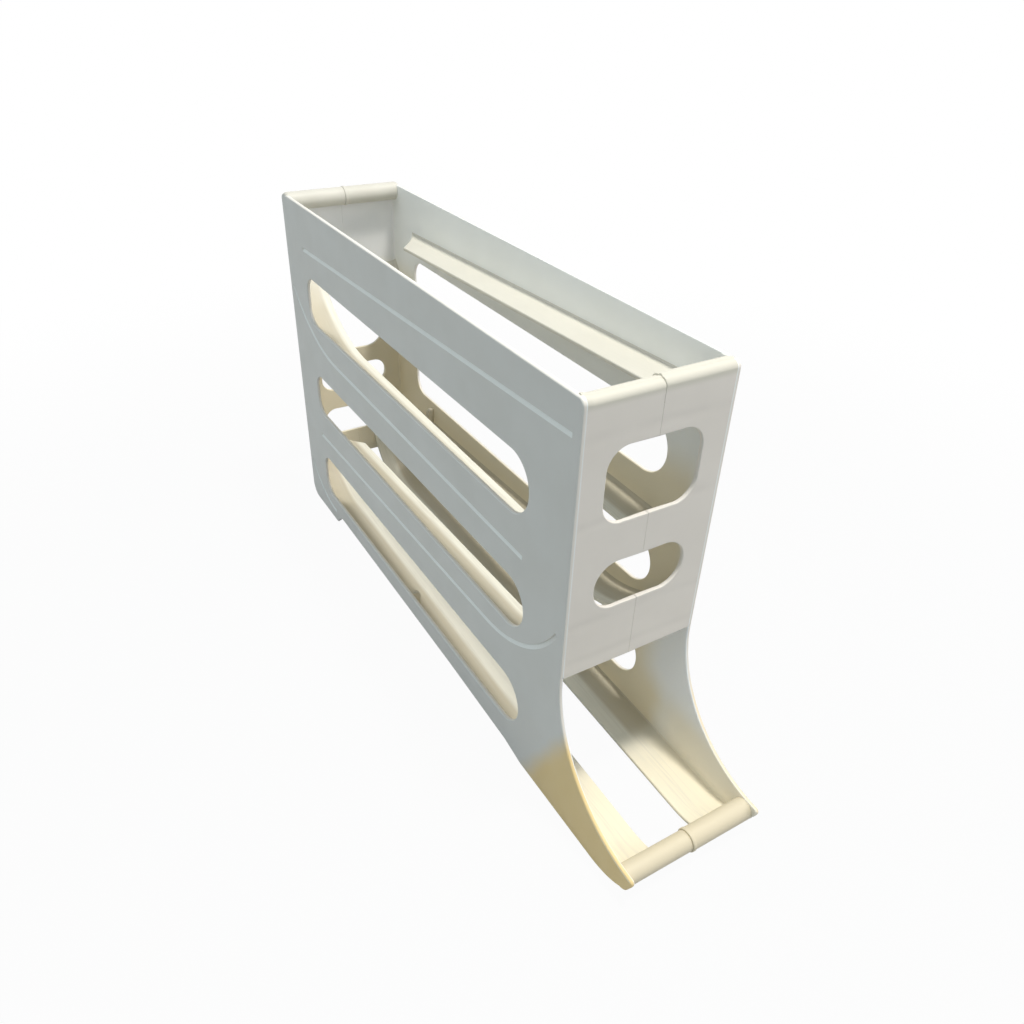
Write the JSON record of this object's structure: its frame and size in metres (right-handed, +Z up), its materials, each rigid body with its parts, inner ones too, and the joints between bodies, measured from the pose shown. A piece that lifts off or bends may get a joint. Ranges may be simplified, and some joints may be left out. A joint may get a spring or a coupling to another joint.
{
  "type": "egg holder",
  "caption": "Upright egg rack whose sloping tiers of rails roll eggs down to an open tray at the front.",
  "frame": {"origin": "middle of the overall box at the surface that the holder stands on", "axes": "+Z up, +Y towards the back wall, with the tray at -Y, and +X to the right as seen from the front; the seam between the two moulded halves lies in the plane X = 0"},
  "size_m": [0.072, 0.37, 0.209],
  "materials": {
    "ivory_plastic": "moulded off-white plastic with a fine satin skin"
  },
  "bodies": {
    "root": {"left_side_panel": "ivory_plastic", "left_front_wall": "ivory_plastic", "left_front_rim": "ivory_plastic", "left_back_wall": "ivory_plastic", "left_top_bar": "ivory_plastic", "left_rail_1": "ivory_plastic", "left_rail_2": "ivory_plastic", "left_rail_3": "ivory_plastic", "left_rail_4": "ivory_plastic", "left_tray_bar": "ivory_plastic", "right_side_panel": "ivory_plastic", "right_front_wall": "ivory_plastic", "right_front_rim": "ivory_plastic", "right_back_wall": "ivory_plastic", "right_top_bar": "ivory_plastic", "right_rail_1": "ivory_plastic", "right_rail_2": "ivory_plastic", "right_rail_3": "ivory_plastic", "right_rail_4": "ivory_plastic", "right_tray_bar": "ivory_plastic"}
  },
  "joints": []
}
